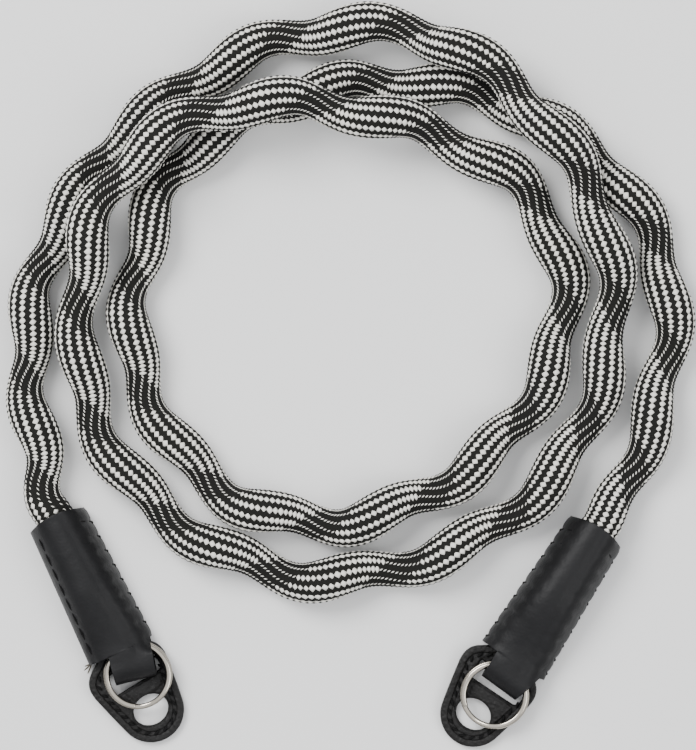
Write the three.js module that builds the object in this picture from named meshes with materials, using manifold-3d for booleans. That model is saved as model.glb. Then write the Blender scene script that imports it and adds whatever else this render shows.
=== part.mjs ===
// Camera neck strap: a round woven cord about a metre long, lying in two and two thirds loose turns,
// with a sewn leather sleeve, a steel split ring and a leather lug guard at each end.
// Millimetres, +Z up. The strap lies on the plane z = 0, the origin in the middle of its footprint.
import * as THREE from "three";
import { mergeVertices } from "three/addons/utils/BufferGeometryUtils.js";
import Module from "manifold-3d";

// The cord is a soft tube whose centre line winds round the route like a corkscrew.
const CORD = { radius: 4.05, sides: 10, steps: 300, throwOut: 1.5 };
// Rows of the route in which the corkscrew opens out: it is straight inside the sleeves.
const STRAIGHT_ROWS = 2;
const OPENING_ROWS = 2;

// The cord's route, from inside the left sleeve clockwise to inside the right one.
// Columns: x, y, z of the corkscrew's axis, and the corkscrew's turns counted from the left end.
const ROUTE = [
  [-52.9, -48.4, 5.8, -1.36],
  [-58.2, -37.6, 5.8, -0.88],
  [-61.7, -30.4, 5.8, -0.56],
  [-64.3, -25.0, 5.8, -0.31],
  [-65.7, -14.3, 5.7, 0.14],
  [-67.8, 6.1, 5.8, 1.04],
  [-63.5, 26.1, 5.6, 1.92],
  [-53.2, 43.7, 5.7, 2.78],
  [-38.4, 57.8, 5.8, 3.63],
  [-20.8, 68.3, 5.7, 4.46],
  [-1.1, 73.0, 7.7, 5.28],
  [19.2, 70.1, 12.1, 6.09],
  [35.4, 58.3, 15.9, 6.89],
  [47.9, 42.3, 15.2, 7.68],
  [54.6, 23.0, 11.0, 8.47],
  [53.5, 2.5, 7.0, 9.26],
  [46.0, -16.2, 5.5, 10.05],
  [31.8, -30.7, 5.8, 10.83],
  [13.2, -39.5, 5.7, 11.62],
  [-7.0, -42.6, 5.7, 12.41],
  [-26.8, -37.0, 5.8, 13.21],
  [-43.2, -25.1, 5.8, 14.02],
  [-54.2, -7.9, 6.6, 14.83],
  [-56.7, 12.3, 9.8, 15.65],
  [-53.6, 32.4, 13.7, 16.47],
  [-41.6, 48.7, 15.9, 17.29],
  [-22.9, 56.6, 17.2, 18.11],
  [-2.7, 55.9, 16.1, 18.93],
  [16.9, 50.7, 11.9, 19.74],
  [34.6, 41.0, 7.7, 20.55],
  [44.5, 23.6, 5.9, 21.37],
  [42.7, 3.7, 5.7, 22.18],
  [32.3, -13.0, 5.7, 22.99],
  [16.5, -25.0, 5.7, 23.8],
  [-2.8, -30.9, 5.7, 24.62],
  [-22.3, -27.1, 5.7, 25.44],
  [-37.3, -13.7, 5.7, 26.27],
  [-45.5, 4.5, 5.8, 27.11],
  [-44.3, 24.7, 5.7, 27.97],
  [-36.6, 43.5, 5.7, 28.83],
  [-20.1, 55.3, 5.7, 29.69],
  [-0.5, 61.1, 5.6, 30.56],
  [19.9, 60.6, 5.8, 31.42],
  [39.4, 54.2, 5.6, 32.28],
  [55.3, 41.6, 5.7, 33.13],
  [65.6, 23.9, 5.7, 33.96],
  [66.5, 3.8, 5.7, 34.79],
  [60.9, -16.0, 5.7, 35.59],
  [54.9, -27.9, 5.8, 36.1],
  [51.7, -32.9, 5.8, 36.33],
  [47.4, -39.6, 5.8, 36.65],
  [40.9, -49.7, 5.8, 37.13],
];

// Leather. A sleeve's profile has columns: share of its length, half width and height as shares of
// the span from mouth to shoulder.
const LEATHER = 1.2;
const SLEEVE = { mouthHeight: 11.6, shoulderHeight: 8.2, steps: 8 };
const TUNNEL = { radius: 4.55, height: 5.8, depth: 20.7, sides: 16 };
const LOOP = { height: 7.9, foldLength: 3.4, rootInside: 3 };
const GUARD = { tip: 7, top: 16.4, thickness: 1.8, edge: 0.35, tilt: 5 };
const LUG_HOLE = { halfLength: 3.2, halfWidth: 3.8 };
const SLOT = { near: 6.3, far: 10.6, halfWidth: 6.7, corner: 1.2 };
const RING = { radius: 6.6, wireWidth: 1.3, wireHeight: 1, pitch: 1.15, bevel: 0.3, steps: 60 };
const GAP = 0.3;

// The two ends. Along is measured from the sleeve's mouth towards the guard, across to the left of it.
const ENDS = {
  left: {
    mouth: [-61.7, -30.4], heading: -64, length: 30.6, mouthWidth: 12.6, shoulderWidth: 14.8,
    loopRoot: [-2.8, 6.7], loopFold: [-4.05, 4.6], foldAt: 37.6,
    hole: [44.5, 0.1], guardTurn: 5.4, ringBack: 7.9, ringAside: 1.6,
  },
  right: {
    mouth: [51.7, -32.9], heading: -122.7, length: 32.2, mouthWidth: 12.8, shoulderWidth: 15.4,
    loopRoot: [-4.1, 6.6], loopFold: [-3.9, 4.7], foldAt: 38.7,
    hole: [46.2, -0.9], guardTurn: -0.9, ringBack: 6.1, ringAside: 1.4,
  },
};

const cordMaterial = new THREE.MeshStandardMaterial({ color: 0x6b6a66, roughness: 0.9, metalness: 0 });
const leatherMaterial = new THREE.MeshStandardMaterial({ color: 0x242424, roughness: 0.55, metalness: 0 });
const steelMaterial = new THREE.MeshStandardMaterial({ color: 0xb9b4ab, roughness: 0.25, metalness: 1 });

const wasm = await Module();
wasm.setup();

function toSolid(geometry) {
  const bare = geometry.clone();
  bare.deleteAttribute("normal");
  bare.deleteAttribute("uv");
  const merged = mergeVertices(bare, 1e-4);
  const triVerts = Uint32Array.from(merged.index.array);
  const vertProperties = Float32Array.from(merged.attributes.position.array);
  return new wasm.Manifold(new wasm.Mesh({ numProp: 3, vertProperties, triVerts }));
}

function toGeometry(solid) {
  const mesh = solid.getMesh();
  const geometry = new THREE.BufferGeometry();
  geometry.setAttribute("position", new THREE.BufferAttribute(Float32Array.from(mesh.vertProperties), 3));
  geometry.setIndex(new THREE.BufferAttribute(Uint32Array.from(mesh.triVerts), 1));
  geometry.computeVertexNormals();
  return geometry;
}

function reshape(geometry, place) {
  const position = geometry.attributes.position;
  for (let i = 0; i < position.count; i += 1) {
    position.setXYZ(i, ...place(position.getX(i), position.getY(i), position.getZ(i)));
  }
  return geometry;
}

function catmullRom(p0, p1, p2, p3, t) {
  const v0 = (p2 - p0) / 2;
  const v1 = (p3 - p1) / 2;
  const cubic = 2 * p1 - 2 * p2 + v0 + v1;
  const square = -3 * p1 + 3 * p2 - 2 * v0 - v1;
  return ((cubic * t + square) * t + v0) * t + p1;
}

// A smooth value of one column of the route at a row number that may lie between two rows.
function routeValue(row, column) {
  const last = ROUTE.length - 1;
  const start = Math.min(Math.floor(row), last - 1);
  const at = (i) => {
    if (i < 0) return 2 * ROUTE[0][column] - ROUTE[1][column];
    if (i > last) return 2 * ROUTE[last][column] - ROUTE[last - 1][column];
    return ROUTE[i][column];
  };
  return catmullRom(at(start - 1), at(start), at(start + 1), at(start + 2), row - start);
}

function routeAxis(row) {
  return new THREE.Vector3(routeValue(row, 0), routeValue(row, 1), routeValue(row, 2));
}

class CordCurve extends THREE.Curve {
  getPoint(u, target = new THREE.Vector3()) {
    const last = ROUTE.length - 1;
    const row = u * last;
    const ahead = routeAxis(Math.min(row + 0.01, last)).sub(routeAxis(Math.max(row - 0.01, 0))).normalize();
    const left = new THREE.Vector3(-ahead.y, ahead.x, 0).normalize();
    const up = new THREE.Vector3().crossVectors(ahead, left);
    const fromEnd = Math.min(row, last - row) - STRAIGHT_ROWS;
    const throwOut = CORD.throwOut * THREE.MathUtils.smoothstep(fromEnd, 0, OPENING_ROWS);
    const angle = 2 * Math.PI * routeValue(row, 3);
    return target.copy(routeAxis(row))
      .addScaledVector(left, -throwOut * Math.cos(angle))
      .addScaledVector(up, throwOut * Math.sin(angle));
  }
}

function roundSection(radius, sides) {
  const points = [];
  for (let i = 0; i < sides; i += 1) {
    const angle = (2 * Math.PI * i) / sides;
    points.push(new THREE.Vector2(radius * Math.cos(angle), radius * Math.sin(angle)));
  }
  return new THREE.Shape(points);
}

function cordGeometry() {
  const curve = new CordCurve();
  curve.arcLengthDivisions = 4000;
  const section = roundSection(CORD.radius, CORD.sides);
  return new THREE.ExtrudeGeometry(section, { steps: CORD.steps, extrudePath: curve, bevelEnabled: false });
}

// The sleeve's cross-section in shares of its half width and height: flat below, arched above,
// with the two leather edges sewn together at each side.
function sleeveSection() {
  const shape = new THREE.Shape();
  shape.moveTo(-0.74, 0);
  shape.lineTo(0.74, 0);
  shape.quadraticCurveTo(0.92, 0.02, 1, 0.14);
  shape.lineTo(1, 0.34);
  shape.bezierCurveTo(0.86, 0.74, 0.56, 1, 0, 1);
  shape.bezierCurveTo(-0.56, 1, -0.86, 0.74, -1, 0.34);
  shape.lineTo(-1, 0.14);
  shape.quadraticCurveTo(-0.92, 0.02, -0.74, 0);
  return shape;
}

function sleeveShell(end) {
  const options = { depth: 1, steps: SLEEVE.steps, bevelEnabled: false, curveSegments: 6 };
  const geometry = new THREE.ExtrudeGeometry(sleeveSection(), options);
  return reshape(geometry, (across, up, along) => {
    const halfWidth = THREE.MathUtils.lerp(end.mouthWidth, end.shoulderWidth, along) / 2;
    const sinking = THREE.MathUtils.smoothstep(along, 0.5, 1);
    const height = THREE.MathUtils.lerp(SLEEVE.mouthHeight, SLEEVE.shoulderHeight, sinking);
    return [along * end.length, across * halfWidth, up * height];
  });
}

// The folded strip seen from its side, from start to the fold; inset draws its inside.
function loopProfile(start, foldAt, inset) {
  const half = LOOP.height / 2;
  const bend = foldAt - LOOP.foldLength;
  const shape = new THREE.Shape();
  shape.moveTo(start, inset);
  shape.lineTo(bend, inset);
  shape.absellipse(bend, half, LOOP.foldLength - inset, half - inset, -Math.PI / 2, Math.PI / 2, false);
  shape.lineTo(start, LOOP.height - inset);
  return shape;
}

function loopBand(end, start, inset, edges) {
  const options = { depth: 1, bevelEnabled: false, curveSegments: 6 };
  const geometry = new THREE.ExtrudeGeometry(loopProfile(start, end.foldAt, inset), options);
  return reshape(geometry, (along, up, share) => {
    const [low, high] = edges(Math.max(0, (along - end.length) / (end.foldAt - end.length)));
    return [along, THREE.MathUtils.lerp(high, low, share), up];
  });
}

function sleeveGeometry(end) {
  const taper = (share) => [0, 1].map((side) => (
    THREE.MathUtils.lerp(end.loopRoot[side], end.loopFold[side], share)
  ));
  const wide = () => [-end.shoulderWidth, end.shoulderWidth];
  const pocketStart = end.hole[0] - GUARD.top - 2 * GAP;
  const pocketEdges = () => [-end.shoulderWidth / 2 + LEATHER, end.shoulderWidth / 2 - LEATHER / 2];
  const tunnel = new THREE.CylinderGeometry(TUNNEL.radius, TUNNEL.radius, 2 * TUNNEL.depth, TUNNEL.sides);
  tunnel.rotateZ(Math.PI / 2);
  tunnel.translate(0, 0, TUNNEL.height);
  const strip = toSolid(sleeveShell(end)).add(toSolid(loopBand(end, end.length - LOOP.rootInside, 0, taper)));
  return toGeometry(strip
    .subtract(toSolid(tunnel))
    .subtract(toSolid(loopBand(end, end.length - GAP, LEATHER, wide)))
    .subtract(toSolid(loopBand(end, pocketStart, LEATHER, pocketEdges))));
}

// The guard lies round the lug hole: a round tip, widening to a blunt top that the loop holds.
function guardShape() {
  const shape = new THREE.Shape();
  shape.absarc(0, 0, GUARD.tip, THREE.MathUtils.degToRad(-78), THREE.MathUtils.degToRad(78), false);
  shape.lineTo(-6.85, 8.6);
  shape.bezierCurveTo(-11.5, 9.7, -12.6, 7.6, -14, 5.3);
  shape.bezierCurveTo(-15.2, 3.4, -GUARD.top, 2.4, -GUARD.top, 0);
  shape.bezierCurveTo(-GUARD.top, -2.4, -15.2, -3.4, -14, -5.3);
  shape.bezierCurveTo(-12.6, -7.6, -11.5, -9.7, -6.85, -8.6);
  const hole = new THREE.Path();
  hole.absellipse(0, 0, LUG_HOLE.halfLength, LUG_HOLE.halfWidth, 0, 2 * Math.PI, true);
  const slot = new THREE.Path();
  const { near, far, halfWidth, corner } = SLOT;
  slot.moveTo(-far, -halfWidth + corner);
  slot.lineTo(-far, halfWidth - corner);
  slot.quadraticCurveTo(-far, halfWidth, -far + corner, halfWidth);
  slot.lineTo(-near - corner, halfWidth);
  slot.quadraticCurveTo(-near, halfWidth, -near, halfWidth - corner);
  slot.lineTo(-near, -halfWidth + corner);
  slot.quadraticCurveTo(-near, -halfWidth, -near - corner, -halfWidth);
  slot.lineTo(-far + corner, -halfWidth);
  slot.quadraticCurveTo(-far, -halfWidth, -far, -halfWidth + corner);
  shape.holes.push(hole, slot);
  return shape;
}

function guardGeometry() {
  const { thickness, edge } = GUARD;
  const geometry = new THREE.ExtrudeGeometry(guardShape(), {
    depth: thickness - 2 * edge, bevelThickness: edge, bevelSize: edge, bevelOffset: -edge,
    bevelSegments: 1, curveSegments: 8,
  });
  return geometry.translate(0, 0, edge);
}

// The split ring's wire: one coil, a short step up, and a second coil on top of it.
class RingCurve extends THREE.Curve {
  getPoint(u, target = new THREE.Vector3()) {
    const turn = THREE.MathUtils.lerp(36, 684, u);
    const angle = THREE.MathUtils.degToRad(turn);
    const height = RING.pitch * THREE.MathUtils.smoothstep(turn, 330, 390);
    return target.set(RING.radius * Math.cos(angle), RING.radius * Math.sin(angle), height);
  }
}

function ringGeometry() {
  const { wireWidth, wireHeight, bevel } = RING;
  const high = wireHeight / 2;
  const wide = wireWidth / 2;
  const corners = [
    [high, wide - bevel], [high - bevel, wide], [bevel - high, wide], [-high, wide - bevel],
    [-high, bevel - wide], [bevel - high, -wide], [high - bevel, -wide], [high, bevel - wide],
  ];
  const section = new THREE.Shape(corners.map((corner) => new THREE.Vector2(...corner)));
  const curve = new RingCurve();
  curve.arcLengthDivisions = 1000;
  const options = { steps: RING.steps, extrudePath: curve, bevelEnabled: false };
  return new THREE.ExtrudeGeometry(section, options);
}

function named(name, geometry, material) {
  const mesh = new THREE.Mesh(geometry, material);
  mesh.name = name;
  return mesh;
}

// One end of the strap: the sleeve with its loop, and the guard and ring that the loop holds.
function endGroup(side, end) {
  const group = new THREE.Group();
  group.position.set(...end.mouth, 0);
  group.rotation.z = THREE.MathUtils.degToRad(end.heading);
  group.add(named(`sleeve_${side}`, sleeveGeometry(end), leatherMaterial));

  const fitting = new THREE.Group();
  const lift = GUARD.tip * Math.sin(THREE.MathUtils.degToRad(GUARD.tilt));
  fitting.position.set(...end.hole, lift);
  fitting.rotation.order = "ZYX";
  fitting.rotation.z = THREE.MathUtils.degToRad(end.guardTurn);
  fitting.rotation.y = THREE.MathUtils.degToRad(GUARD.tilt);
  fitting.add(named(`guard_${side}`, guardGeometry(), leatherMaterial));

  const ring = named(`ring_${side}`, ringGeometry(), steelMaterial);
  ring.position.set(-end.ringBack, end.ringAside, GUARD.thickness + GAP + RING.wireHeight / 2);
  fitting.add(ring);
  group.add(fitting);
  return group;
}

const strap = new THREE.Group();
strap.add(named("rope", cordGeometry(), cordMaterial));
for (const [side, end] of Object.entries(ENDS)) strap.add(endGroup(side, end));

export default strap;
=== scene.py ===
# %% [markdown]
# # Camera neck strap
#
# A round woven cord, about a metre long, lies in two and two thirds loose turns. Each end goes into
# a leather sleeve, folded from one strip and sewn along both sides. The strip's fold holds a steel
# split ring and a stitched leather guard that keeps the ring off the camera's body.
#
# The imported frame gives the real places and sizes. This script adds what the eye sees: the weave,
# the leather with its seams and thread, and the bright wire.

import math

import bmesh
import bpy
import numpy as np
from mathutils import Matrix, Vector


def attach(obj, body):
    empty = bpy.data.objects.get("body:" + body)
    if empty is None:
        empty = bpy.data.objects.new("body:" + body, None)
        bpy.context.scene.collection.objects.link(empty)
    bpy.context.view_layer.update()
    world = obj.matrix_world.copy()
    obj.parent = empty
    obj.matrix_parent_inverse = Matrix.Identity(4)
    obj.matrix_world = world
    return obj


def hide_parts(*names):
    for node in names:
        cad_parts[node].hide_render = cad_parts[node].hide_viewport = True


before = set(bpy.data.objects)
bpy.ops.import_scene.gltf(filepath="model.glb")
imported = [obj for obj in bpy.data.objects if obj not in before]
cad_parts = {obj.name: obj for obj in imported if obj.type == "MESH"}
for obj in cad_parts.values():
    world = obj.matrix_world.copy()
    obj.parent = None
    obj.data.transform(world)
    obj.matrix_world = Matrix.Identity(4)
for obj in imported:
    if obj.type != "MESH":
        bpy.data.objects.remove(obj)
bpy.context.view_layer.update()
MM = 0.001

# %% [markdown]
# ## Camera and stage
#
# The strap is seen from straight above, so a long lens keeps the raised turns from looking bigger
# than the low ones. The table is a pale sheet in a large, even studio light: big soft panels and a
# bright sky leave only a faint shade under the cord.

# %% Camera
VIEW_CENTRE = (-0.0005, 0.0001)
VIEW_HEIGHT = 0.1575
CAMERA_DISTANCE = 1.3
MIDDLE_HEIGHT = 0.006
SENSOR = 36.0

camera_data = bpy.data.cameras.new("camera")
camera_data.sensor_fit = "VERTICAL"
camera_data.sensor_height = SENSOR
camera_data.lens = SENSOR * CAMERA_DISTANCE / VIEW_HEIGHT
camera_data.clip_end = 10
camera = bpy.data.objects.new("camera", camera_data)
camera.location = (*VIEW_CENTRE, CAMERA_DISTANCE + MIDDLE_HEIGHT)
bpy.context.collection.objects.link(camera)
bpy.context.scene.camera = camera
print("lens", round(camera_data.lens, 1), "mm")


# %% Colours and nodes
def linear(hex_colour):
    """An sRGB hex colour as the linear RGBA that a shader takes."""
    parts = [int(hex_colour[i:i + 2], 16) / 255 for i in (1, 3, 5)]
    return (*[c / 12.92 if c <= 0.04045 else ((c + 0.055) / 1.055) ** 2.4 for c in parts], 1.0)


def add_node(tree, kind, links=None, **settings):
    """Adds a node; settings name its properties or inputs, and links names the sockets it takes."""
    node = tree.nodes.new(kind)
    for name, value in settings.items():
        if hasattr(node, name):
            setattr(node, name, value)
        else:
            node.inputs[name.replace("_", " ")].default_value = value
    for name, socket in (links or {}).items():
        tree.links.new(socket, node.inputs[name])
    return node


def new_material(name, **inputs):
    """A material with one Principled shader, its plain inputs set on the shader's own sockets."""
    material = bpy.data.materials.new(name)
    material.use_nodes = True
    shader = material.node_tree.nodes["Principled BSDF"]
    for socket, value in inputs.items():
        shader.inputs[socket.replace("_", " ")].default_value = value
    return material, material.node_tree, shader


# %% Stage and light
def area_light(name, place, size, power, colour="#ffffff"):
    data = bpy.data.lights.new(name, "AREA")
    data.shape = "DISK"
    data.size = size
    data.energy = power
    data.color = linear(colour)[:3]
    light = bpy.data.objects.new(name, data)
    light.location = place
    light.rotation_euler = (-Vector(place)).to_track_quat("-Z", "Y").to_euler()
    bpy.context.collection.objects.link(light)


FLOOR_SIZE = 6.0
floor_bmesh = bmesh.new()
bmesh.ops.create_grid(floor_bmesh, x_segments=1, y_segments=1, size=FLOOR_SIZE / 2)
floor_mesh = bpy.data.meshes.new("floor")
floor_bmesh.to_mesh(floor_mesh)
floor_bmesh.free()
floor = bpy.data.objects.new("floor", floor_mesh)
bpy.context.collection.objects.link(floor)
floor_paint, _, _ = new_material("matt white paper", Base_Color=linear("#dededd"), Roughness=0.9)
floor_mesh.materials.append(floor_paint)

HORIZON = 0.05
ZENITH = 1.75
world = bpy.data.worlds.new("studio")
world.use_nodes = True
background = world.node_tree.nodes["Background"]
background.inputs["Color"].default_value = linear("#fbfcff")
toward = add_node(world.node_tree, "ShaderNodeTexCoord").outputs["Generated"]
height = add_node(world.node_tree, "ShaderNodeSeparateXYZ", {"Vector": toward}).outputs["Z"]
sky = add_node(world.node_tree, "ShaderNodeMapRange", {"Value": height}, To_Min=HORIZON, To_Max=ZENITH)
world.node_tree.links.new(sky.outputs["Result"], background.inputs["Strength"])
bpy.context.scene.world = world
area_light("key panel", (-0.5, 0.45, 0.9), 0.6, 15.0)
area_light("fill panel", (0.7, -0.3, 0.8), 0.7, 5.0)
print("stage, sky and two panels")

# %% [markdown]
# ## The cord's route
#
# The cord runs from inside the left sleeve clockwise to inside the right one. Each row has a point
# of the route and the number of turns that the soft tube's corkscrew has made there. The axis passes
# smoothly through the rows as a Catmull-Rom curve, and the tube winds round it to the left, a good
# millimetre off. The tube also swells once a turn, a little before it stands farthest out, and
# settles back to the table where it is thinner. The two together give the row of soft, leaning bulges.

# %% Route
ROUTE = [
    (-0.0529, -0.0484, 0.0058, -1.36),
    (-0.0582, -0.0376, 0.0058, -0.88),
    (-0.0617, -0.0304, 0.0058, -0.56),
    (-0.0643, -0.0250, 0.0058, -0.31),
    (-0.0657, -0.0143, 0.0057, 0.14),
    (-0.0678, 0.0061, 0.0058, 1.04),
    (-0.0635, 0.0261, 0.0056, 1.92),
    (-0.0532, 0.0437, 0.0057, 2.78),
    (-0.0384, 0.0578, 0.0058, 3.63),
    (-0.0208, 0.0683, 0.0057, 4.46),
    (-0.0011, 0.0730, 0.0077, 5.28),
    (0.0192, 0.0701, 0.0121, 6.09),
    (0.0354, 0.0583, 0.0159, 6.89),
    (0.0479, 0.0423, 0.0152, 7.68),
    (0.0546, 0.0230, 0.0110, 8.47),
    (0.0535, 0.0025, 0.0070, 9.26),
    (0.0460, -0.0162, 0.0055, 10.05),
    (0.0318, -0.0307, 0.0058, 10.83),
    (0.0132, -0.0395, 0.0057, 11.62),
    (-0.0070, -0.0426, 0.0057, 12.41),
    (-0.0268, -0.0370, 0.0058, 13.21),
    (-0.0432, -0.0251, 0.0058, 14.02),
    (-0.0542, -0.0079, 0.0066, 14.83),
    (-0.0567, 0.0123, 0.0098, 15.65),
    (-0.0536, 0.0324, 0.0137, 16.47),
    (-0.0416, 0.0487, 0.0159, 17.29),
    (-0.0229, 0.0566, 0.0172, 18.11),
    (-0.0027, 0.0559, 0.0161, 18.93),
    (0.0169, 0.0507, 0.0119, 19.74),
    (0.0346, 0.0410, 0.0077, 20.55),
    (0.0445, 0.0236, 0.0059, 21.37),
    (0.0427, 0.0037, 0.0057, 22.18),
    (0.0323, -0.0130, 0.0057, 22.99),
    (0.0165, -0.0250, 0.0057, 23.8),
    (-0.0028, -0.0309, 0.0057, 24.62),
    (-0.0223, -0.0271, 0.0057, 25.44),
    (-0.0373, -0.0137, 0.0057, 26.27),
    (-0.0455, 0.0045, 0.0058, 27.11),
    (-0.0443, 0.0247, 0.0057, 27.97),
    (-0.0366, 0.0435, 0.0057, 28.83),
    (-0.0201, 0.0553, 0.0057, 29.69),
    (-0.0005, 0.0611, 0.0056, 30.56),
    (0.0199, 0.0606, 0.0058, 31.42),
    (0.0394, 0.0542, 0.0056, 32.28),
    (0.0553, 0.0416, 0.0057, 33.13),
    (0.0656, 0.0239, 0.0057, 33.96),
    (0.0665, 0.0038, 0.0057, 34.79),
    (0.0609, -0.0160, 0.0057, 35.59),
    (0.0549, -0.0279, 0.0058, 36.1),
    (0.0517, -0.0329, 0.0058, 36.33),
    (0.0474, -0.0396, 0.0058, 36.65),
    (0.0409, -0.0497, 0.0058, 37.13),
]
THROW_OUT = 0.00125
SWELL = 0.00045
LEAD = math.atan2(SWELL, THROW_OUT)
SETTLE = 0.0006
STRAIGHT_ROWS = 2
OPENING_ROWS = 2


def route_at(row):
    """The route's four columns at row numbers that may lie between two rows."""
    table = np.array(ROUTE)
    table = np.vstack([2 * table[0] - table[1], table, 2 * table[-1] - table[-2]])
    start = np.clip(np.floor(row).astype(int), 0, len(ROUTE) - 2)
    t = (row - start)[:, None]
    p0, p1, p2, p3 = (table[start + i] for i in range(4))
    v0, v1 = (p2 - p0) / 2, (p3 - p1) / 2
    return (((2 * p1 - 2 * p2 + v0 + v1) * t - 3 * p1 + 3 * p2 - 2 * v0 - v1) * t + v0) * t + p1


def unit(vectors):
    return vectors / np.linalg.norm(vectors, axis=-1, keepdims=True)


def opening_at(row):
    """0 inside the sleeves, where the tube is straight, rising to 1 where it corkscrews freely."""
    opening = np.clip((np.minimum(row, len(ROUTE) - 1 - row) - STRAIGHT_ROWS) / OPENING_ROWS, 0, 1)
    return opening ** 2 * (3 - 2 * opening)


def swell(row, turns):
    """How much fatter than its plain radius the tube is here."""
    return SWELL * opening_at(row) * np.sin(2 * math.pi * turns - LEAD)


def centreline(row):
    """The middle of the soft tube at these row numbers."""
    last = len(ROUTE) - 1
    point = route_at(row)
    step = route_at(np.minimum(row + 0.01, last)) - route_at(np.maximum(row - 0.01, 0))
    ahead = unit(step[:, :3])
    left = unit(np.stack([-ahead[:, 1], ahead[:, 0], 0 * ahead[:, 0]], axis=1))
    up = np.cross(ahead, left)
    free = opening_at(row)[:, None]
    angle = 2 * math.pi * point[:, 3:4] - LEAD
    sideways = THROW_OUT * (np.sin(angle) * up - np.cos(angle) * left)
    return point[:, :3] + free * (sideways - SETTLE * np.array([0, 0, 1])), left, point[:, 3]


def cord_frames(row):
    """Centre, forward, left and up directions of the tube, and its turns, at these row numbers."""
    centre, left, turns = centreline(row)
    last = len(ROUTE) - 1
    ends = centreline(np.minimum(row + 0.002, last))[0] - centreline(np.maximum(row - 0.002, 0))[0]
    ahead = unit(ends)
    left = unit(left - ahead * np.sum(left * ahead, axis=1, keepdims=True))
    return centre, ahead, left, np.cross(ahead, left), turns


FINE_ROWS = np.linspace(0, len(ROUTE) - 1, 6001)
fine_centre, _, fine_turns = centreline(FINE_ROWS)
print("corkscrew", round(fine_turns[-1] - fine_turns[0], 1), "turns")

# %% [markdown]
# ## The woven cord
#
# The real cord is a tube knitted from black yarn with twelve light columns, filled with a soft core.
# Here the black tube is one grid, rolled up round the centre line, with a small ridge at every
# course. The light stitches are separate small domes, because their puffed diamonds are what the eye
# reads: one dome is modelled with bmesh, then copied to every stitch in one array and joined.
#
# Each column drifts by its own width in one turn of the corkscrew. Where the tube bulges outward the
# stitches open into diamonds; in the tight inner bend only a thin slanted float shows.

# %% Weave sizes
COLUMNS = 12
COURSES_PER_TURN = 26
DIAMOND_ARC = math.radians(118)
STITCH_WIDTH = 1.66 * MM
STITCH_LIFT = 0.26 * MM
FLOAT_LENGTH = 1.0 * MM
FLOAT_WIDTH = 0.30 * MM
FLOAT_SLANT = math.radians(37)
FLOAT_LIFT = 0.13 * MM
GROUND_SIDES = 24


def column_angle(column, turns):
    """Angle of a light column round the tube, from its left side over the top."""
    return 2 * math.pi * (column + turns) / COLUMNS


def facing(angle, turns):
    """How far a place on the tube is from the outside of the bulge, from -pi to pi."""
    return (angle - math.pi + 2 * math.pi * turns + math.pi) % (2 * math.pi) - math.pi


# %% Mesh helpers
def finish_piece(name, mesh, material):
    """Makes a smooth object of a mesh that already lies in its place, and lets it ride on the body."""
    mesh.shade_smooth()
    mesh.materials.append(material)
    piece = bpy.data.objects.new(name, mesh)
    bpy.context.collection.objects.link(piece)
    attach(piece, "root")
    return piece


def mesh_from(bm, name):
    mesh = bpy.data.meshes.new(name)
    bm.to_mesh(mesh)
    bm.free()
    return mesh


def join_copies(name, shape, places):
    """Copies a small closed mesh to many places and joins the copies. places holds 3 x 4 matrices."""
    count = len(places)
    corners = np.array([v.co for v in shape.vertices])
    points = np.einsum("nij,vj->nvi", places[:, :, :3], corners) + places[:, None, :, 3]
    faces = [np.array(p.vertices) for p in shape.polygons]
    sizes = np.array([len(f) for f in faces])
    loops = np.concatenate(faces)
    all_loops = (loops[None, :] + np.arange(count)[:, None] * len(corners)).ravel()
    all_sizes = np.tile(sizes, count)
    mesh = bpy.data.meshes.new(name)
    mesh.vertices.add(count * len(corners))
    mesh.vertices.foreach_set("co", points.ravel())
    mesh.loops.add(len(all_loops))
    mesh.loops.foreach_set("vertex_index", all_loops)
    mesh.polygons.add(len(all_sizes))
    mesh.polygons.foreach_set("loop_start", np.concatenate([[0], np.cumsum(all_sizes)[:-1]]))
    mesh.update(calc_edges=True)
    mesh.validate()
    return mesh


CORNER_ROUNDING = 0.07


def dome(name, segments, lift, base):
    """A puffed square cushion, two units across, closed below at base."""
    bm = bmesh.new()
    bmesh.ops.create_grid(bm, x_segments=segments, y_segments=segments, size=1)
    rim = [e for e in bm.edges if e.is_boundary]
    for vertex in bm.verts:
        x, y = vertex.co.x, vertex.co.y
        rounding = 1 - CORNER_ROUNDING * x * x * y * y
        vertex.co = (x * rounding, y * rounding, lift * (1 - x * x) * (1 - y * y))
    walls = bmesh.ops.extrude_edge_only(bm, edges=rim)
    lower = [v for v in walls["geom"] if isinstance(v, bmesh.types.BMVert)]
    for vertex in lower:
        vertex.co.z = base
    bmesh.ops.holes_fill(bm, edges=[e for e in bm.edges if e.is_boundary], sides=0)
    bmesh.ops.recalc_face_normals(bm, faces=bm.faces)
    print(name, len(bm.faces), "faces")
    return mesh_from(bm, name)


def rolled_grid(name, rings, sides, surface):
    """Rolls a flat grid into a tube: surface(ring, angle) gives each corner's place. Ends are closed."""
    bm = bmesh.new()
    bmesh.ops.create_grid(bm, x_segments=rings, y_segments=sides, size=0.5)
    flat = np.array([v.co[:2] for v in bm.verts])
    ring = np.round((flat[:, 0] + 0.5) * rings).astype(int)
    angle = 2 * math.pi * (flat[:, 1] + 0.5)
    places = surface(ring, angle)
    weave = bm.loops.layers.uv.new("weave")
    for face in bm.faces:
        for loop in face.loops:
            i = loop.vert.index
            loop[weave].uv = (ring[i], angle[i] / (2 * math.pi))
    for vertex, place in zip(bm.verts, places):
        vertex.co = place
    bmesh.ops.remove_doubles(bm, verts=bm.verts, dist=1e-7)
    bmesh.ops.holes_fill(bm, edges=[e for e in bm.edges if e.is_boundary], sides=0)
    bmesh.ops.recalc_face_normals(bm, faces=bm.faces)
    print(name, len(bm.faces), "faces")
    return mesh_from(bm, name)


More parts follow.
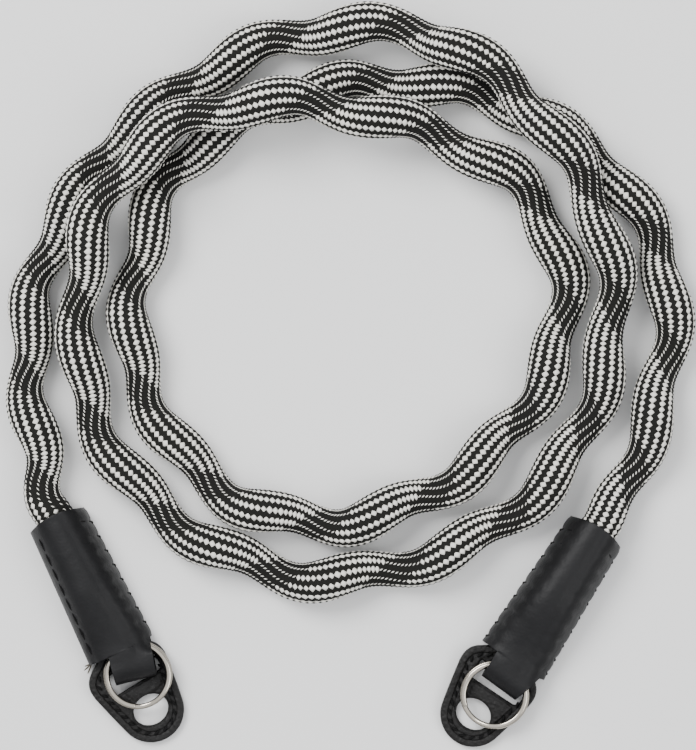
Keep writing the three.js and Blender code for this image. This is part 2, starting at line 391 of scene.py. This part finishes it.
# %% [markdown]
# ## Yarn
#
# Both yarns are spun acrylic: matt, a little fuzzy, and brightest at the crown of each stitch. The
# black ground has fine slanted plies, about three to a course, that only show close to. The light
# yarn is a warm grey white, in uneven shades. A real fibre is about 0.02 mm thick, too fine to show,
# so the fuzz is drawn as clumps of 0.18 mm.

# %% Yarn materials
def yarn_material(name, dark, light, bump, sheen):
    material, tree, shader = new_material(name, Roughness=0.85, Specular_IOR_Level=0.15,
                                          Sheen_Weight=sheen, Sheen_Roughness=0.5)
    place = add_node(tree, "ShaderNodeTexCoord")
    fibres = add_node(tree, "ShaderNodeTexNoise", {"Vector": place.outputs["Object"]},
                      Scale=FIBRE, Detail=3.0, Roughness=0.65)
    tone = add_node(tree, "ShaderNodeMixRGB", {"Fac": fibres.outputs["Fac"]},
                    Color1=linear(dark), Color2=linear(light))
    height = add_node(tree, "ShaderNodeBump", {"Height": fibres.outputs["Fac"]},
                      Strength=bump, Distance=0.05 * MM)
    tree.links.new(tone.outputs["Color"], shader.inputs["Base Color"])
    tree.links.new(height.outputs["Normal"], shader.inputs["Normal"])
    return material, tree, shader, height


FIBRE = 1 / (0.18 * MM)
PLIES_ROUND = 24.0
PLY_SLANT = math.radians(28)
light_yarn, *_ = yarn_material("light grey spun acrylic yarn", "#b9b6ae", "#f8f6ee", 0.5, 0.15)
ground_yarn, ground_tree, _, ground_bump = yarn_material(
    "black spun acrylic yarn", "#0b0b0a", "#20201d", 0.7, 0.02)
weave_uv = add_node(ground_tree, "ShaderNodeUVMap", uv_map="weave")
plies = add_node(ground_tree, "ShaderNodeMapping", {"Vector": weave_uv.outputs["UV"]},
                 Scale=(1.0, PLIES_ROUND, 1.0), Rotation=(0, 0, PLY_SLANT))
ribs = add_node(ground_tree, "ShaderNodeTexWave", {"Vector": plies.outputs["Vector"]},
                Scale=0.32, Distortion=0.6, Detail=1.0)
ply_bump = add_node(ground_tree, "ShaderNodeBump", {
    "Height": ribs.outputs["Fac"], "Normal": ground_bump.outputs["Normal"]},
    Strength=0.8, Distance=0.12 * MM)
ground_tree.links.new(ply_bump.outputs["Normal"],
                      ground_tree.nodes["Principled BSDF"].inputs["Normal"])

# %% The black ground
RINGS_PER_COURSE = 3
COURSE_RIDGE = 0.09 * MM
COLUMN_RIDGE = 0.16 * MM
GROUND_RADIUS = 3.92 * MM

first_turn, last_turn = fine_turns[0], fine_turns[-1]
ground_rings = int((last_turn - first_turn) * COURSES_PER_TURN * RINGS_PER_COURSE)
ring_turns = np.linspace(first_turn, last_turn, ground_rings + 1)
ring_rows = np.interp(ring_turns, fine_turns, FINE_ROWS)
ring_frames = cord_frames(ring_rows)
ring_swell = swell(ring_rows, ring_turns)


def ground_surface(ring, angle):
    centre, ahead, left, up, turns = (part[ring] for part in ring_frames)
    column = angle / (2 * math.pi) * COLUMNS
    ridge = -COLUMN_RIDGE * np.cos(2 * math.pi * column)
    course = ring / RINGS_PER_COURSE + np.round(column) / 2
    ridge = ridge + COURSE_RIDGE * np.cos(2 * math.pi * course)
    angle = angle + 2 * math.pi * turns / COLUMNS
    radius = (GROUND_RADIUS + ring_swell[ring] + ridge)[:, None]
    return centre + radius * (np.cos(angle)[:, None] * left + np.sin(angle)[:, None] * up)


cord_ground = finish_piece("cord_ground", rolled_grid("cord_ground", ground_rings, GROUND_SIDES,
                                                      ground_surface), ground_yarn)

# %% The light stitches
SLEEVE_COVER = 1.95
STITCH_SINK = 0.02 * MM
courses = np.arange(math.ceil(first_turn * COURSES_PER_TURN), last_turn * COURSES_PER_TURN)


def stitch_places():
    """Where each light stitch is: centre, along, around and outward directions, spacing and facing."""
    half_course = 0.5 / COURSES_PER_TURN
    column, course = (part.ravel() for part in np.meshgrid(np.arange(COLUMNS), courses))
    turns = course / COURSES_PER_TURN + half_course * (column % 2)
    rows = np.interp(turns, fine_turns, FINE_ROWS)
    open_air = (rows > SLEEVE_COVER) & (rows < len(ROUTE) - 1 - SLEEVE_COVER)
    column, turns = column[open_air], turns[open_air]

    def on_tube(at_turns):
        at_rows = np.interp(at_turns, fine_turns, FINE_ROWS)
        centre, _, left, up, _ = cord_frames(at_rows)
        radius = GROUND_RADIUS - STITCH_SINK + swell(at_rows, at_turns)[:, None]
        angle = column_angle(column, at_turns)[:, None]
        out = np.cos(angle) * left + np.sin(angle) * up
        around = np.cos(angle) * up - np.sin(angle) * left
        return centre + radius * out, out, around

    place, out, around = on_tube(turns)
    step = on_tube(turns + half_course)[0] - on_tube(turns - half_course)[0]
    angle = column_angle(column, turns)
    return place, unit(step), around, out, np.linalg.norm(step, axis=1), facing(angle, turns)


place, along, around, out, spacing, outward = stitch_places()
puffed = np.abs(outward) < DIAMOND_ARC
UNEVENNESS = 0.06
generator = np.random.default_rng(7)
uneven = 1 + UNEVENNESS * generator.standard_normal(len(puffed))


def matrices(long_way, wide_way, height, chosen):
    """Matrices that lay the unit cushion cornerwise: its tips point the long way and the wide way."""
    ex = (long_way + wide_way) / 2
    ey = (long_way - wide_way) / 2
    columns = [ex, ey, out[chosen] * height[:, None], place[chosen]]
    return np.stack(columns, axis=2)


# The stitches overlap a little where the tube starts to bulge, and shrink towards its far side.
FIRST_LENGTH, LENGTH_LOST = 1.14, 0.12
FIRST_WIDTH, WIDTH_LOST = 1.08, 0.22
late = np.clip((outward[puffed] + DIAMOND_ARC) / (2 * DIAMOND_ARC), 0, 1)
half_long = 0.5 * spacing[puffed] * (FIRST_LENGTH - LENGTH_LOST * late ** 2) * uneven[puffed]
half_wide = 0.5 * STITCH_WIDTH * (FIRST_WIDTH - WIDTH_LOST * late) * uneven[puffed]
diamonds = matrices(along[puffed] * half_long[:, None], around[puffed] * half_wide[:, None],
                    STITCH_LIFT * uneven[puffed], puffed)
cushion = dome("stitch", 3, 1.0, -0.6)
half = len(diamonds) // 2
stitches_first = finish_piece("stitches_first_half",
                              join_copies("stitches_first_half", cushion, diamonds[:half]), light_yarn)
stitches_last = finish_piece("stitches_last_half",
                             join_copies("stitches_last_half", cushion, diamonds[half:]), light_yarn)

tight = ~puffed
slanted = math.cos(FLOAT_SLANT) * along[tight] - math.sin(FLOAT_SLANT) * around[tight]
crossways = math.sin(FLOAT_SLANT) * along[tight] + math.cos(FLOAT_SLANT) * around[tight]
floats_at = matrices(slanted * FLOAT_LENGTH / 2, crossways * FLOAT_WIDTH / 2,
                     np.full(tight.sum(), FLOAT_LIFT), tight)
floats = finish_piece("stitch_floats",
                      join_copies("stitch_floats", dome("float", 2, 1.0, -0.5), floats_at), light_yarn)
print(len(diamonds), "diamonds,", len(floats_at), "floats")

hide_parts("rope")

# %% [markdown]
# ## Leather
#
# The sleeves are smooth black bridle leather: waxed, dense, with very fine pores and a soft broad
# shine. The guards are a softer, pebbled black leather with a grain of 0.7 mm. Both are almost black.
# Handling leaves shallow dents of two or three millimetres, which break the shine, and patches of
# wear, which make it duller or brighter.

# %% Leather materials
WEAR_PATCH = 6 * MM
DENT = 2.6 * MM
DENT_DEPTH = 0.3 * MM


def leather_material(name, dark, light, roughness, pebble, depth, gloss):
    """Leather with wear, dents, a grain as wide as pebble and as deep as depth, and finer pores."""
    material, tree, shader = new_material(name, Specular_IOR_Level=gloss)
    at = add_node(tree, "ShaderNodeTexCoord").outputs["Object"]
    cloud = add_node(tree, "ShaderNodeTexNoise", {"Vector": at}, Scale=1 / WEAR_PATCH, Detail=4.0)
    tone = add_node(tree, "ShaderNodeMixRGB", {"Fac": cloud.outputs["Fac"]},
                    Color1=linear(dark), Color2=linear(light))
    grain = add_node(tree, "ShaderNodeTexVoronoi", {"Vector": at}, Scale=1 / pebble,
                     feature="SMOOTH_F1")
    pores = add_node(tree, "ShaderNodeTexNoise", {"Vector": at}, Scale=3 / pebble, Detail=2.0)
    wear = add_node(tree, "ShaderNodeMapRange", {"Value": cloud.outputs["Fac"]},
                    To_Min=roughness - 0.08, To_Max=roughness + 0.1)
    dents = add_node(tree, "ShaderNodeTexNoise", {"Vector": at}, Scale=1 / DENT, Detail=3.0)
    uneven_face = add_node(tree, "ShaderNodeBump", {"Height": dents.outputs["Fac"]},
                           Strength=0.6, Distance=DENT_DEPTH)
    coarse = add_node(tree, "ShaderNodeBump", {
        "Height": grain.outputs["Distance"], "Normal": uneven_face.outputs["Normal"]},
        Strength=0.8, Distance=depth, invert=True)
    fine = add_node(tree, "ShaderNodeBump", {
        "Height": pores.outputs["Fac"], "Normal": coarse.outputs["Normal"]},
        Strength=0.25, Distance=depth)
    tree.links.new(tone.outputs["Color"], shader.inputs["Base Color"])
    tree.links.new(wear.outputs["Result"], shader.inputs["Roughness"])
    tree.links.new(fine.outputs["Normal"], shader.inputs["Normal"])
    return material


bridle = leather_material("smooth black bridle leather", "#0e0e0f", "#1b1b1c", 0.48, 0.5 * MM,
                          0.04 * MM, 0.16)
pebbled = leather_material("pebbled black leather", "#0c0c0c", "#191817", 0.5, 0.7 * MM,
                           0.3 * MM, 0.2)
thread_black, *_ = yarn_material("waxed black sewing thread", "#050505", "#0f0f0f", 0.4, 0.0)
thread_loose, *_ = yarn_material("loose natural thread end", "#2e2a23", "#625b4e", 0.4, 0.0)

# %% [markdown]
# ## Sleeves
#
# One strip makes a sleeve: it starts at the mouth, arches over the cord, narrows at the shoulders,
# folds round the ring and comes back flat underneath. So it is modelled as a strip too: one grid,
# laid along that path, given its thickness by Solidify and its worn edges by Bevel. The thread over an
# edge pulls it in at each stitch, which scallops it. One edge of the left sleeve has a running stitch
# instead, in a shallow groove. Lengths in the table of ends are in millimetres.

# %% Sizes of the ends
LEATHER = 1.2 * MM
WORN_EDGE = 0.22 * MM
SEAM_EDGE = 2.55 * MM
MOUTH_HEIGHT = 11.4 * MM
SHOULDER_HEIGHT = 8.1 * MM
LOOP_HEIGHT = 7.9 * MM
FOLD_LENGTH = 3.4 * MM
LOOP_SKEW = 0.2
STITCH_PITCH = 3.4 * MM
STITCH_INSET = 1.5 * MM
RUNNING_INSET = 1.5 * MM
GROOVE_INSET = 0.7 * STITCH_INSET
SCALLOP = 0.3 * MM
MOUTH_LIP = 1.3 * MM
MOUTH_LIP_FADE = 9 * MM
CREASE = 0.22 * MM
CREASE_ASIDE = 1.2 * MM
CREASE_WIDTH = 0.7 * MM
CREASE_SLANT = 0.06
WAVE = 0.1 * MM
WAVE_LENGTH = 5.3 * MM
WAVE_WIDTH = 2.1 * MM
ARCH_SHOULDER = 2.5
ARCH_CROWN = 0.55
SEAM_BLUR = 0.08
PULL = 0.36 * MM
GUARD_TILT = math.radians(5)
GUARD_TIP = 7.0 * MM
GUARD_TOP = 16.4 * MM
GUARD_THICKNESS = 1.8 * MM
RING_RADIUS = 6.6 * MM
WIRE_WIDTH = 1.12 * MM
WIRE_HEIGHT = 1.0 * MM
WIRE_PITCH = 1.08 * MM

ENDS = {
    "left": dict(
        rows=(2, 0), length=30.6, mouth=12.6, shoulder=14.8, root=(-2.8, 6.7), fold=(-4.05, 4.6),
        fold_at=37.6, skew=1.0, running_side=-1, hole=(44.5, 0.1), turn=5.4, ring=(-7.9, 1.6)),
    "right": dict(
        rows=(-3, -1), length=32.2, mouth=12.8, shoulder=15.4, root=(-4.1, 6.6), fold=(-3.9, 4.7),
        fold_at=38.7, skew=0.3, running_side=0, hole=(46.2, -0.9), turn=-0.9, ring=(-6.1, 1.4)),
}


def end_place(end):
    """The end's own frame: along from the mouth to the guard, across to the left, up."""
    mouth, inside = (Vector(ROUTE[row][:2]) for row in end["rows"])
    heading = math.atan2(*(inside - mouth).yx)
    return Matrix.Translation((*mouth, 0)) @ Matrix.Rotation(heading, 4, "Z")


def fitting_place(end):
    """The guard's frame: the origin under the lug hole, its tip resting on the table."""
    lift = GUARD_TIP * math.sin(GUARD_TILT)
    hole = Vector((*end["hole"], 0)) * MM + Vector((0, 0, lift))
    return (end_place(end) @ Matrix.Translation(hole) @ Matrix.Rotation(math.radians(end["turn"]), 4, "Z")
            @ Matrix.Rotation(GUARD_TILT, 4, "Y"))


# %% The strip
def smooth_step(value, low, high):
    t = min(1.0, max(0.0, (value - low) / (high - low)))
    return t * t * (3 - 2 * t)


def sewn(along, sharpness):
    """1 at a stitch of the sleeve's seam, falling to 0 halfway to the next."""
    return abs(math.cos(math.pi * along / STITCH_PITCH)) ** sharpness


def sleeve_half_width(end, along, side):
    """Width from the middle to one edge, which thread over the edge pulls into scallops."""
    share = along / (end["length"] * MM)
    plain = (end["mouth"] + (end["shoulder"] - end["mouth"]) * share) * MM / 2
    return plain if side == end["running_side"] else plain - SCALLOP * sewn(along, 5)


def sleeve_top(end, along, across):
    """Height of the front's outer face: an arch over the cord that sinks towards the shoulders."""
    length = end["length"] * MM
    high = MOUTH_HEIGHT + (SHOULDER_HEIGHT - MOUTH_HEIGHT) * smooth_step(along, 0.5 * length, length)
    side = math.copysign(1, across)
    half = sleeve_half_width(end, min(along, length), side)
    share = min(1.0, abs(across) / half)
    arch = (1 - share ** ARCH_SHOULDER) ** ARCH_CROWN
    wave = WAVE * math.sin(along / WAVE_LENGTH + across / WAVE_WIDTH) * (1 - share ** 2)
    crease = CREASE * math.exp(-((across - CREASE_ASIDE - CREASE_SLANT * along) / CREASE_WIDTH) ** 2)
    seam = 1 - (RUNNING_INSET if side == end["running_side"] else GROOVE_INSET) / half
    pull = PULL * math.exp(-((share - seam) / SEAM_BLUR) ** 2) * (0.35 + 0.65 * sewn(along, 6))
    return SEAM_EDGE + (high - SEAM_EDGE) * arch + (wave - crease) * arch - pull


FRONT_STEPS, LOOP_STEPS, FOLD_STEPS = 72, 14, 18
SHOULDER_CUT = 0.12 * MM


def strip_rows(end):
    """The strip's path from the mouth, round the fold and back.

    Each row has its kind and its place along the sleeve, or its angle round the fold.
    """
    length, fold = end["length"] * MM, end["fold_at"] * MM
    root, bend = length + SHOULDER_CUT, fold - FOLD_LENGTH
    front = [length * i / FRONT_STEPS for i in range(FRONT_STEPS + 1)]
    loop = [root + (bend - root) * i / LOOP_STEPS for i in range(LOOP_STEPS + 1)]
    turn = [math.pi / 2 - math.pi * i / FOLD_STEPS for i in range(1, FOLD_STEPS)]
    rows = [("front", a) for a in front] + [("loop", a) for a in loop]
    rows += [("fold", t) for t in turn]
    rows += [("under", a) for a in reversed(loop)] + [("back", a) for a in reversed(front)]
    return rows


def strip_point(end, kind, value, share):
    """A corner of the strip in the end's own frame; share runs from -1 to 1 across the strip."""
    length, fold = end["length"] * MM, end["fold_at"] * MM
    bend = fold - FOLD_LENGTH
    along = bend + FOLD_LENGTH * math.cos(value) if kind == "fold" else value
    lip = MOUTH_LIP * (1 - smooth_step(value, 0, MOUTH_LIP_FADE)) * (1 - share ** 2)
    if kind in ("front", "back"):
        across = share * sleeve_half_width(end, along, math.copysign(1, share))
        if kind == "front":
            return along - lip, across, sleeve_top(end, along, across)
        return along, across, 0.0
    narrowing = min(1.0, max(0.0, (along - length) / (fold - length)))
    low, high = (r + (f - r) * narrowing for r, f in zip(end["root"], end["fold"]))
    across = (low + (high - low) * (share + 1) / 2) * MM
    along += LOOP_SKEW * end["skew"] * across * narrowing
    if kind == "under":
        return along, across, 0.0
    if kind == "fold":
        return along, across, LOOP_HEIGHT / 2 * (1 + math.sin(value))
    flat = smooth_step(along, length, bend)
    return along, across, sleeve_top(end, length, across) * (1 - flat) + LOOP_HEIGHT * flat


STRIP_COLUMNS = 44


def sleeve_mesh(name, end):
    rows = strip_rows(end)
    bm = bmesh.new()
    bmesh.ops.create_grid(bm, x_segments=len(rows) - 1, y_segments=STRIP_COLUMNS, size=0.5)
    for vertex in bm.verts:
        kind, value = rows[round((vertex.co.x + 0.5) * (len(rows) - 1))]
        share = math.sin(math.pi * vertex.co.y)
        vertex.co = strip_point(end, kind, value, share)
    bm.transform(end_place(end))
    return mesh_from(bm, name)


def add_modifier(piece, kind, **settings):
    modifier = piece.modifiers.new(kind.lower(), kind)
    for name, value in settings.items():
        setattr(modifier, name, value)


for side, end in ENDS.items():
    sleeve = finish_piece(f"leather_sleeve_{side}", sleeve_mesh(f"leather_sleeve_{side}", end), bridle)
    add_modifier(sleeve, "SOLIDIFY", thickness=LEATHER, offset=-1)
    add_modifier(sleeve, "BEVEL", width=WORN_EDGE, segments=2, limit_method="ANGLE",
                 angle_limit=math.radians(50))
    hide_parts(f"sleeve_{side}")
    print(sleeve.name, len(sleeve.data.polygons), "faces before thickness")

# %% [markdown]
# ## Thread
#
# Waxed thread is sewn over the edges of a sleeve. Each stitch is a short round-ended bar that lies on
# the front, and a second one that goes over the edge. On the edge with the running stitch one longer
# bar lies on the front. A thread is small and repeated, so one bar is modelled and copied.

# %% Stitches over the edge
THREAD = 0.36 * MM
RUNNING_THREAD = 0.22 * MM
RUNNING_LENGTH = 2.6 * MM
LAST_STITCH = 0.8 * MM


def bar_mesh():
    """A round-ended bar, two units long, one unit in radius at its waist."""
    bm = bmesh.new()
    bmesh.ops.create_uvsphere(bm, u_segments=8, v_segments=6, radius=1)
    bm.transform(Matrix.Rotation(math.pi / 2, 4, "Y"))
    return mesh_from(bm, "bar")


ROUND_END = 1.12
UP = Vector((0, 0, 1))


def bar_matrix(start, stop, thickness):
    """Lays the bar from one point to another, a little past both."""
    middle = (start + stop) / 2
    reach = (stop - start) / 2
    side = UP.cross(reach).normalized()
    top = reach.cross(side).normalized()
    columns = [reach * ROUND_END, side * thickness, top * thickness, middle]
    return np.array([[column[i] for column in columns] for i in range(3)])


def edge_stitches(end):
    """Where the bars of one sleeve's two seams lie."""
    places = []
    matrix = end_place(end)
    count = int(end["length"] * MM / STITCH_PITCH)
    for side in (-1, 1):
        for i in range(1, count + 1):
            along = i * STITCH_PITCH
            if along > end["length"] * MM - LAST_STITCH:
                continue
            edge = sleeve_half_width(end, along, side)
            if side == end["running_side"]:
                line = side * (edge - RUNNING_INSET)
                stops = (along - RUNNING_LENGTH / 2, along + RUNNING_LENGTH / 2)
                a, b = (Vector((x, line, sleeve_top(end, x, line) + 0.02 * MM)) for x in stops)
                places.append(bar_matrix(matrix @ a, matrix @ b, RUNNING_THREAD))
                continue
            inner = edge - STITCH_INSET
            start = Vector((along - 0.9 * MM, side * inner, sleeve_top(end, along, inner) + 0.05 * MM))
            rim = Vector((along + 0.1 * MM, side * (edge + 0.1 * MM), SEAM_EDGE - 0.1 * MM))
            foot = Vector((along + 0.5 * MM, side * (edge + 0.05 * MM), 0.25 * MM))
            for a, b in ((start, rim), (rim, foot)):
                places.append(bar_matrix(matrix @ a, matrix @ b, THREAD))
    return np.array(places)


bar = bar_mesh()
for side, end in ENDS.items():
    thread = finish_piece(f"sleeve_thread_{side}",
                          join_copies(f"sleeve_thread_{side}", bar, edge_stitches(end)), thread_black)
    print(thread.name, len(thread.data.polygons), "faces")

# %% A loose thread end at the left shoulder
STRAND = 0.17 * MM
STRANDS = (
    ((30.5, -7.0, 1.2), (31.0, -8.9, 1.6)),
    ((30.6, -7.0, 1.2), (31.9, -8.5, 1.2)),
    ((30.4, -7.0, 1.2), (30.3, -8.4, 1.0)),
)
frayed = []
for strand in STRANDS:
    a, b = (end_place(ENDS["left"]) @ (Vector(point) * MM) for point in strand)
    frayed.append(bar_matrix(a, b, STRAND))
loose_mesh = join_copies("loose_thread_end", bar, np.array(frayed))
loose = finish_piece("loose_thread_end", loose_mesh, thread_loose)
print("loose thread end of", len(STRANDS), "strands")

# %% [markdown]
# ## Guards
#
# A guard is cut from two layers of soft leather, turned and stitched all round. Three flat curves
# with rounded edges stack up to it: the plate, a raised rim and a raised field round the lug hole.
# The groove left between rim and field holds the stitches.

# %% Outlines
def arc(radius_x, radius_y, start, stop, count):
    """Points on an ellipse between two angles in degrees."""
    steps = [start + (stop - start) * i / count for i in range(count + 1)]
    return [(radius_x * math.cos(math.radians(t)), radius_y * math.sin(math.radians(t))) for t in steps]


def bezier(points, count):
    """Points along a cubic Bezier curve, without its first one."""
    curve = np.array(points, float)
    t = np.arange(1, count + 1)[:, None] / count
    weights = [(1 - t) ** 3, 3 * t * (1 - t) ** 2, 3 * t ** 2 * (1 - t), t ** 3]
    return [tuple(p) for p in sum(w * c for w, c in zip(weights, curve))]


def guard_outline():
    """The guard's edge in millimetres, round the lug hole, from the tip over the left side."""
    tip, top = GUARD_TIP / MM, GUARD_TOP / MM
    widest, corner = (-6.85, 8.6), (-14, 5.3)
    upper = arc(tip, tip, 0, 78, 14)
    upper += bezier([upper[-1], (-1.3, 7.5), (-4.0, 8.05), widest], 6)
    upper += bezier([widest, (-11.5, 9.7), (-12.6, 7.6), corner], 12)
    upper += bezier([corner, (-15.2, 3.4), (-top, 2.4), (-top, 0)], 8)
    return upper + [(x, -y) for x, y in reversed(upper[1:-1])]


def inset(outline, distance):
    """Moves a convex outline inwards."""
    points = np.array(outline)
    tangent = unit(np.roll(points, -1, axis=0) - np.roll(points, 1, axis=0))
    return [tuple(p) for p in points + distance * np.stack([-tangent[:, 1], tangent[:, 0]], axis=1)]


def rounded_box(near, far, half, corner):
    """A slot across the guard, from near to far behind the lug hole."""
    centres = [(-near - corner, half - corner, 0), (-far + corner, half - corner, 90),
               (-far + corner, corner - half, 180), (-near - corner, corner - half, 270)]
    points = []
    for x, y, start in centres:
        points += [(x + px, y + py) for px, py in arc(corner, corner, start, start + 90, 5)]
    return points


LUG_HOLE = arc(3.2, 3.8, 0, 350, 35)
SLOT_RIGHT = -4.9
SLOT = [(x, max(y, SLOT_RIGHT)) for x, y in rounded_box(6.3, 10.6, 6.7, 1.2)]
RIM_WIDTH = 1.6
GROOVE = 0.75
BRIDGE_EDGE = -5.95


# %% Plates
def plate(name, outlines, low, high, edge, matrix):
    """A flat curve with holes, given its thickness and round edges, as a closed mesh in its place."""
    curve = bpy.data.curves.new(name, "CURVE")
    curve.dimensions = "2D"
    curve.fill_mode = "BOTH"
    curve.extrude = (high - low) / 2 * MM - edge * MM
    curve.bevel_depth = edge * MM
    curve.bevel_resolution = 2
    curve.offset = -edge * MM
    for outline in outlines:
        spline = curve.splines.new("POLY")
        spline.points.add(len(outline) - 1)
        for point, (x, y) in zip(spline.points, outline):
            point.co = (x * MM, y * MM, 0, 1)
        spline.use_cyclic_u = True
    carrier = bpy.data.objects.new(name, curve)
    bpy.context.collection.objects.link(carrier)
    solid = carrier.evaluated_get(bpy.context.evaluated_depsgraph_get())
    mesh = bpy.data.meshes.new_from_object(solid)
    bpy.data.objects.remove(carrier)
    bm = bmesh.new()
    bm.from_mesh(mesh)
    bmesh.ops.remove_doubles(bm, verts=bm.verts, dist=1e-6)
    bmesh.ops.recalc_face_normals(bm, faces=bm.faces)
    bm.transform(matrix @ Matrix.Translation((0, 0, (low + high) / 2 * MM)))
    return mesh_from(bm, name)


def field_outline(outline):
    """The raised field: the outline inside the groove, cut straight along the slot."""
    inner = inset(outline, RIM_WIDTH + GROOVE)
    return [(max(x, BRIDGE_EDGE), y) for x, y in inner if x > BRIDGE_EDGE - 1]


outline = guard_outline()
for side, end in ENDS.items():
    matrix = fitting_place(end)
    layers = {
        "plate": ([outline, LUG_HOLE, SLOT], 0.0, 1.4, 0.5),
        "rim": ([inset(outline, 0.1), inset(outline, RIM_WIDTH)], 0.9, 1.8, 0.4),
        "field": ([field_outline(outline), inset(LUG_HOLE, -0.25)], 0.9, 1.72, 0.32),
    }
    for layer, (outlines, low, high, edge) in layers.items():
        name = f"guard_{layer}_{side}"
        piece = finish_piece(name, plate(name, outlines, low, high, edge, matrix), pebbled)
        if layer == "plate":
            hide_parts(f"guard_{side}")
    print("guard", side, len(outline), "points round its edge")

# %% Stitches round the guards
GUARD_STITCH = 2.05
STITCH_SHARE = 0.6
STITCH_SLANT = 0.35
STITCH_HEIGHT = 1.62
GUARD_THREAD = 0.3 * MM


def guard_stitches(matrix):
    """Where the slanted bars in a guard's groove lie."""
    lanes = []
    for shift in (-STITCH_SLANT, STITCH_SLANT):
        lane = np.array(inset(outline, RIM_WIDTH + GROOVE / 2 + shift))
        lanes.append(np.vstack([lane, lane[:1]]))
    outer, inner = lanes
    line = (outer + inner) / 2
    run = np.concatenate([[0], np.cumsum(np.linalg.norm(np.diff(line, axis=0), axis=1))])
    count = round(run[-1] / GUARD_STITCH)
    places = []
    for i in range(count):
        ends = []
        for at, lane in ((i, outer), (i + STITCH_SHARE, inner)):
            spot = [np.interp(at * run[-1] / count, run, lane[:, k]) for k in (0, 1)]
            ends.append(matrix @ (Vector((*spot, STITCH_HEIGHT)) * MM))
        places.append(bar_matrix(ends[0], ends[1], GUARD_THREAD))
    return np.array(places)


for side, end in ENDS.items():
    name = f"guard_thread_{side}"
    stitches = join_copies(name, bar, guard_stitches(fitting_place(end)))
    thread = finish_piece(name, stitches, thread_black)
    print(name, len(stitches.polygons), "faces")

# %% [markdown]
# ## Split rings
#
# Spring steel wire, flattened, wound twice, hardened and nickel plated. It could be a spin of one
# profile, but a split ring steps from one coil to the next, so the wire is a grid rolled along its
# own path. The lower coil stands out a little, and shows as a second line beside the upper one.
# Polishing leaves a slightly uneven gloss, drawn in patches of about a millimetre.

# %% Rings
steel, steel_tree, steel_shader = new_material("nickel-plated polished spring steel", Metallic=1.0,
                                               Base_Color=linear("#a8a297"))
steel_at = add_node(steel_tree, "ShaderNodeTexCoord").outputs["Object"]
drawn = add_node(steel_tree, "ShaderNodeTexNoise", {"Vector": steel_at},
                 Scale=1 / (0.9 * MM), Detail=3.0)
polish = add_node(steel_tree, "ShaderNodeMapRange", {"Value": drawn.outputs["Fac"]},
                  To_Min=0.12, To_Max=0.24)
steel_tree.links.new(polish.outputs["Result"], steel_shader.inputs["Roughness"])

RING_STEPS = 260
WIRE_SIDES = 16
WIRE_ENDS = (36, 684)
WIRE_STEP = (330, 390)
COIL_SHIFT = 0.22 * MM
SHIFTED_OUT = 0.6
SQUARENESS = 0.75


def flattened(wave):
    """A sine or cosine made squarer, which turns a round section into flattened wire."""
    return np.sign(wave) * np.abs(wave) ** SQUARENESS


def ring_mesh(name, matrix):
    to_world = np.array(matrix)

    def wire_surface(step, angle):
        turn = WIRE_ENDS[0] + (WIRE_ENDS[1] - WIRE_ENDS[0]) * step / RING_STEPS
        rise = np.clip((turn - WIRE_STEP[0]) / (WIRE_STEP[1] - WIRE_STEP[0]), 0, 1)
        height = WIRE_PITCH * rise * rise * (3 - 2 * rise)
        radius = RING_RADIUS + COIL_SHIFT * (SHIFTED_OUT - rise)
        radius = radius + WIRE_WIDTH / 2 * flattened(np.cos(angle))
        height = height + WIRE_HEIGHT / 2 * flattened(np.sin(angle))
        turn = np.radians(turn)
        across, forward = radius * np.cos(turn), radius * np.sin(turn)
        local = np.stack([across, forward, height, np.ones(len(turn))], axis=1)
        return (local @ to_world.T)[:, :3]

    return rolled_grid(name, RING_STEPS, WIRE_SIDES, wire_surface)


RING_GAP = 0.3 * MM
for side, end in ENDS.items():
    lift = GUARD_THICKNESS + RING_GAP + WIRE_HEIGHT / 2
    seat = Vector((*(MM * place for place in end["ring"]), lift))
    name = f"split_ring_{side}"
    ring = finish_piece(name, ring_mesh(name, fitting_place(end) @ Matrix.Translation(seat)), steel)
    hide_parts(f"ring_{side}")
